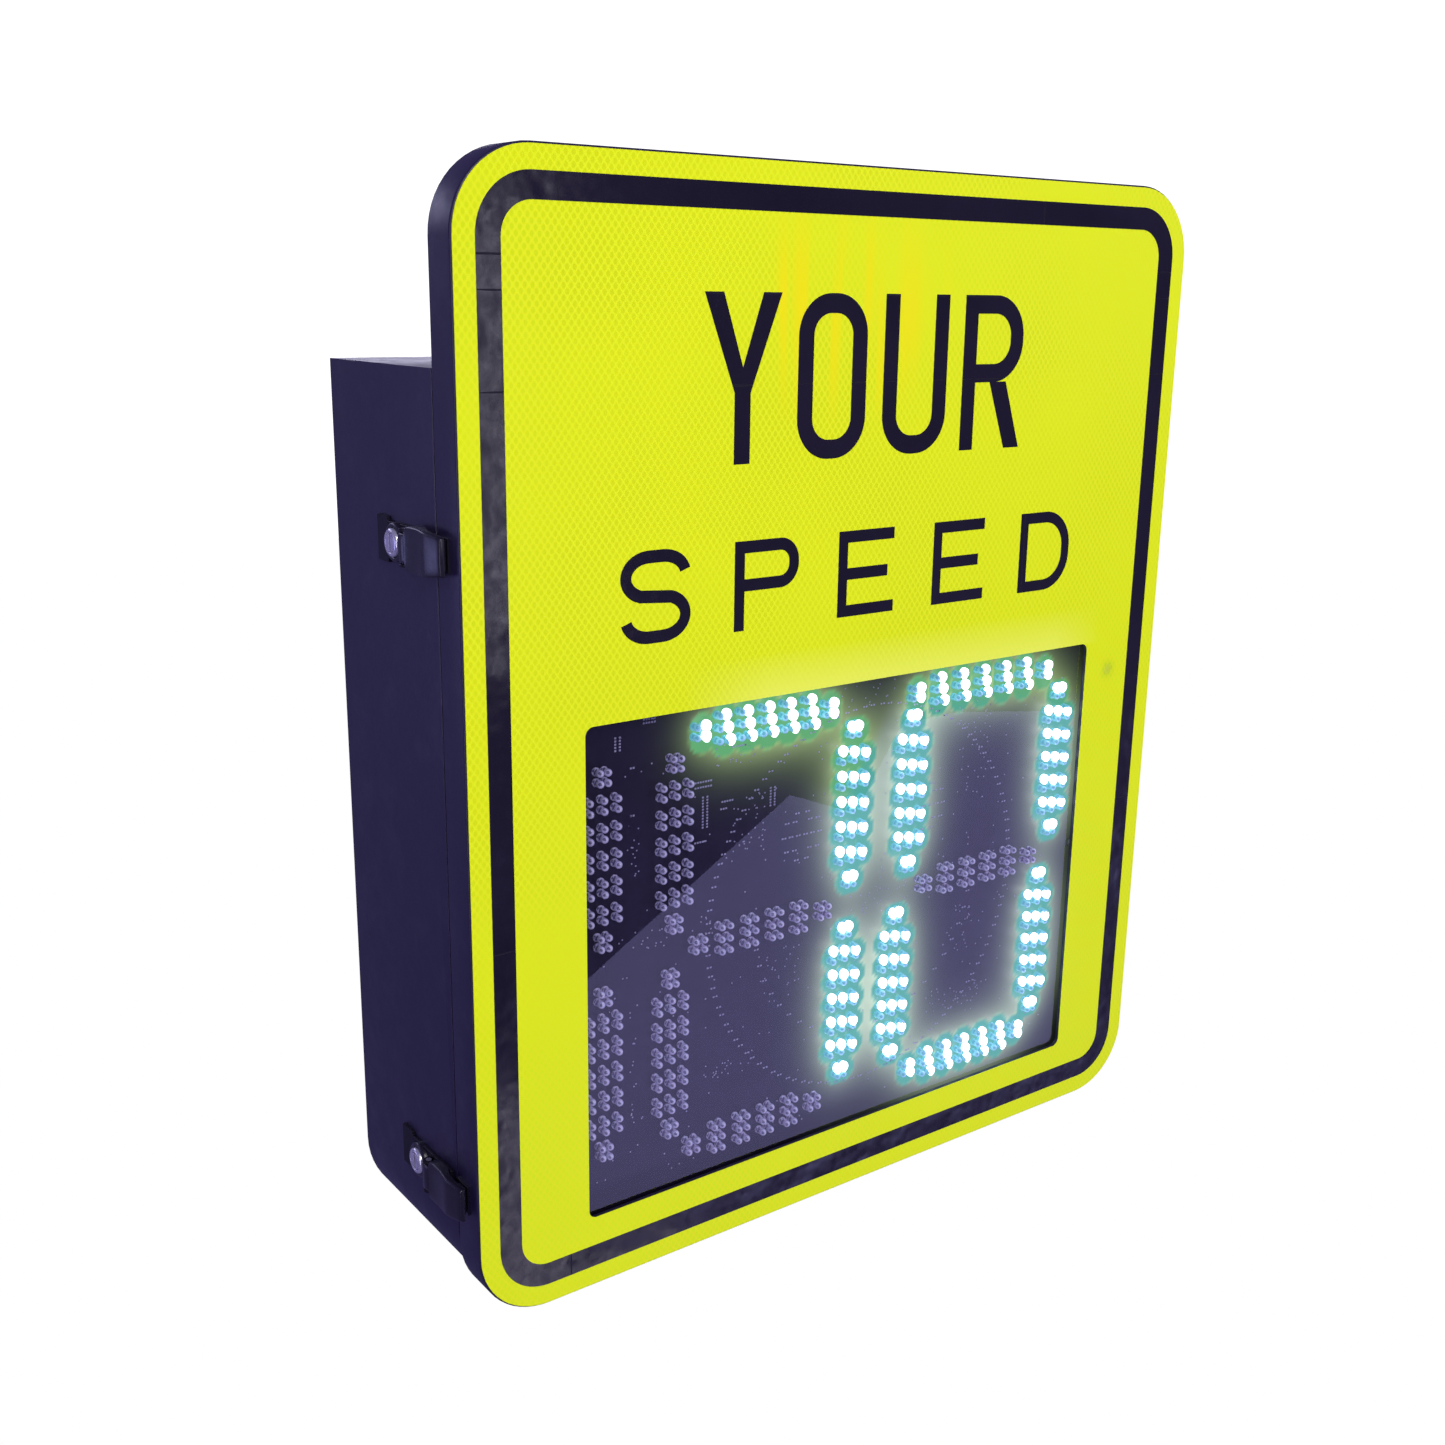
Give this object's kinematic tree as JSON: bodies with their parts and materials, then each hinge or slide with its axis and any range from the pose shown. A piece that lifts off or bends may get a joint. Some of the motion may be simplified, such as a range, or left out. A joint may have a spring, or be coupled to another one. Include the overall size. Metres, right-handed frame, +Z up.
{
  "type": "radar speed sign head",
  "caption": "Radar speed feedback sign head: navy cabinet, hinged yellow-green sign door with black border, legend and LED digit window, two key-locking side latches.",
  "frame": {"origin": "centre of the rear mounting bolt pattern, on the cabinet's back face", "axes": "+Z up; the sign face looks along -Y, +Y points out of the back towards the pole; +X to the right seen from the front"},
  "size_m": [0.6295, 0.1702, 0.7479],
  "materials": {
    "navy_coat": "satin",
    "black_rubber": "matte",
    "plated_steel": "satin",
    "bright_fasteners": "satin",
    "controller_blue": "satin",
    "terminal_green": "matte",
    "board_green": "satin",
    "component_black": "matte",
    "terminal_grey": "matte",
    "rocker_red": "satin",
    "battery_case": "satin",
    "battery_lead_metal": "matte",
    "strap_webbing": "matte",
    "lead_insulation": "satin",
    "nylon_black": "satin",
    "latch_black": "satin",
    "lock_chrome": "polished",
    "sheet_yellow_green": "gloss",
    "film_black": "gloss",
    "pane_clear": "gloss",
    "display_black": "satin",
    "led_lens": "gloss",
    "radar_grey": "matte"
  },
  "bodies": {
    "cabinet": {"cabinet_back": "navy_coat", "cabinet_left": "navy_coat", "cabinet_right": "navy_coat", "cabinet_top": "navy_coat", "cabinet_floor": "navy_coat", "cabinet_flange": "navy_coat", "cabinet_gasket": "black_rubber", "backing_bars": "plated_steel", "equipment_panel": "plated_steel", "panel_standoffs": "bright_fasteners", "charge_controller": "controller_blue", "charge_terminals": "terminal_green", "control_board": "board_green", "control_parts": "component_black", "terminal_block": "terminal_grey", "fuse_holder": "component_black", "switch_housing": "component_black", "battery": "battery_case", "battery_posts": "battery_lead_metal", "battery_tray": "plated_steel", "battery_strap": "strap_webbing", "battery_leads": "lead_insulation", "solar_gland": "nylon_black", "gland_locknut": "nylon_black", "vent_plug": "nylon_black", "hinge_leaf_cabinet": "navy_coat", "hinge_pin": "bright_fasteners", "latch_base_upper": "latch_black", "latch_pin_upper": "bright_fasteners", "lock_housing_upper": "lock_chrome", "latch_base_lower": "latch_black", "latch_pin_lower": "bright_fasteners", "lock_housing_lower": "lock_chrome"},
    "door": {"door_pan": "navy_coat", "door_back_panel": "navy_coat", "sign_sheet": "sheet_yellow_green", "border_stripe": "film_black", "legend_upper": "film_black", "legend_lower": "film_black", "window_pane": "pane_clear", "window_tape": "black_rubber", "led_board": "display_black", "board_standoffs": "bright_fasteners", "led_driver_parts": "component_black", "leds_hundreds": "led_lens", "leds_tens": "led_lens", "leds_units": "led_lens", "radar_module": "radar_grey", "light_sensor": "component_black", "hinge_leaf_door": "navy_coat", "keeper_upper": "latch_black", "keeper_lower": "latch_black"},
    "upper_lever": {"latch_lever_upper": "latch_black"},
    "lower_lever": {"latch_lever_lower": "latch_black"},
    "upper_lock": {"lock_plug_upper": "lock_chrome", "lock_cam_upper": "bright_fasteners"},
    "lower_lock": {"lock_plug_lower": "lock_chrome", "lock_cam_lower": "bright_fasteners"},
    "service_switch": {"switch_rocker": "rocker_red"}
  },
  "joints": [
    {"name": "door_swing", "type": "hinge", "parent": "cabinet", "child": "door", "pos_m": [0.3092, -0.1423, 0], "axis": [0, 0, 1], "range_deg": [0, 120]},
    {"name": "upper_lever_swing", "type": "hinge", "parent": "cabinet", "child": "upper_lever", "pos_m": [-0.312, -0.116, 0.19775], "axis": [0, 0, -1], "range_deg": [0, 70]},
    {"name": "lower_lever_swing", "type": "hinge", "parent": "cabinet", "child": "lower_lever", "pos_m": [-0.312, -0.116, -0.21325], "axis": [0, 0, -1], "range_deg": [0, 70]},
    {"name": "upper_lock_turn", "type": "hinge", "parent": "cabinet", "child": "upper_lock", "pos_m": [-0.305, -0.095, 0.19775], "axis": [1, 0, 0], "range_deg": [0, 90]},
    {"name": "lower_lock_turn", "type": "hinge", "parent": "cabinet", "child": "lower_lock", "pos_m": [-0.305, -0.095, -0.21325], "axis": [1, 0, 0], "range_deg": [0, 90]},
    {"name": "switch_rock", "type": "hinge", "parent": "cabinet", "child": "service_switch", "pos_m": [0.165, -0.05, -0.02], "axis": [1, 0, 0], "range_deg": [0, 20]}
  ]
}
